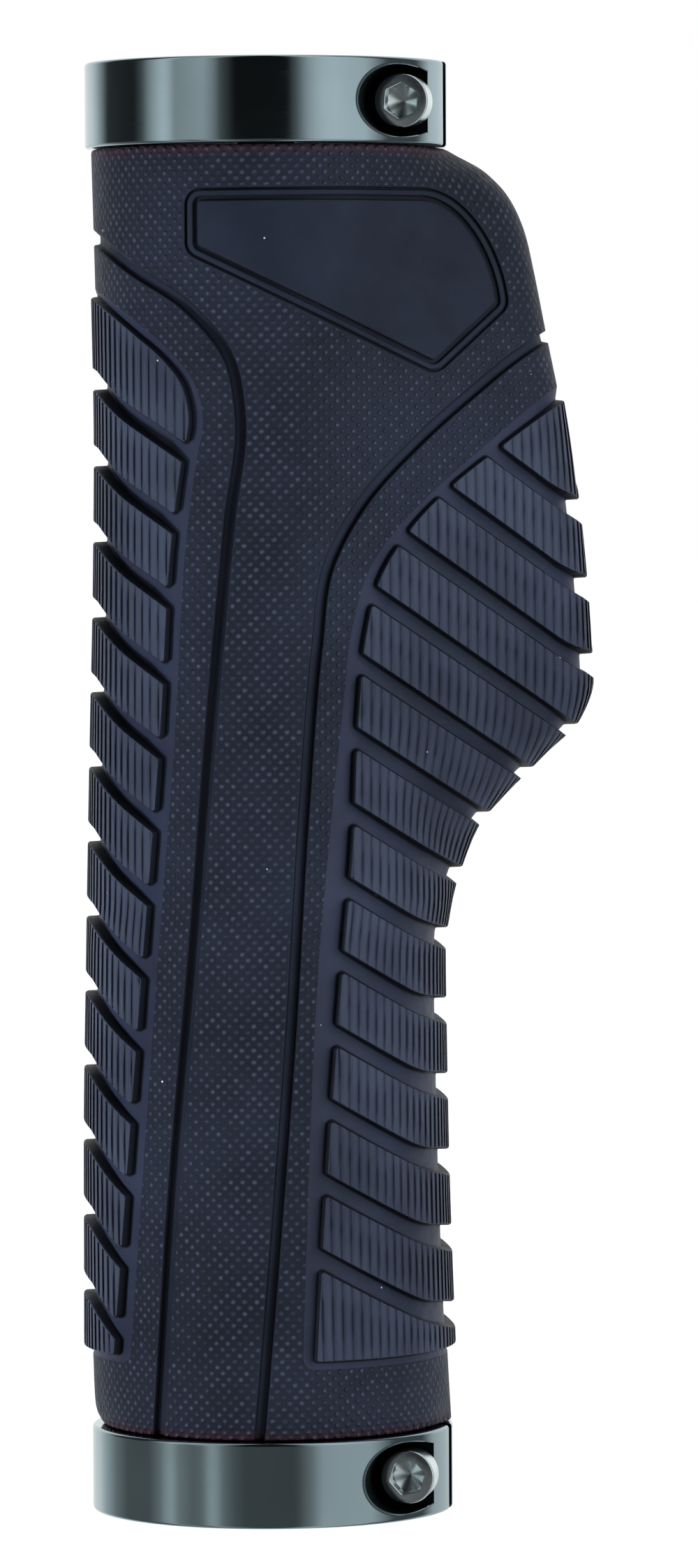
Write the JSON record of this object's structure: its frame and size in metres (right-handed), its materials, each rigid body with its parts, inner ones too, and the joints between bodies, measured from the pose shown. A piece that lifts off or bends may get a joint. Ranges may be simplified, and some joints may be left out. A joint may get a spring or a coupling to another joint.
{
  "type": "handlebar grip",
  "caption": "Ergonomic lock-on bicycle handlebar grip: ribbed rubber sleeve with a palm wing on a hard core, clamped at each end by a split ring with a hex socket screw.",
  "frame": {"origin": "on the bar axis at the lower clamp ring's bottom face", "axes": "+Z along the bar axis from the lower ring to the upper ring, +X towards the palm wing, -Y towards the side with the screw heads"},
  "size_m": [0.0463, 0.0324, 0.13],
  "materials": {
    "rubber": "matte",
    "core_plastic": "matte",
    "ring_aluminium": "polished",
    "screw_steel": "polished"
  },
  "bodies": {
    "root": {"rubber_sleeve": "rubber", "core_tube": "core_plastic", "lower_clamp_ring": "ring_aluminium", "upper_clamp_ring": "ring_aluminium", "lower_clamp_screw": "screw_steel", "upper_clamp_screw": "screw_steel"}
  },
  "joints": []
}
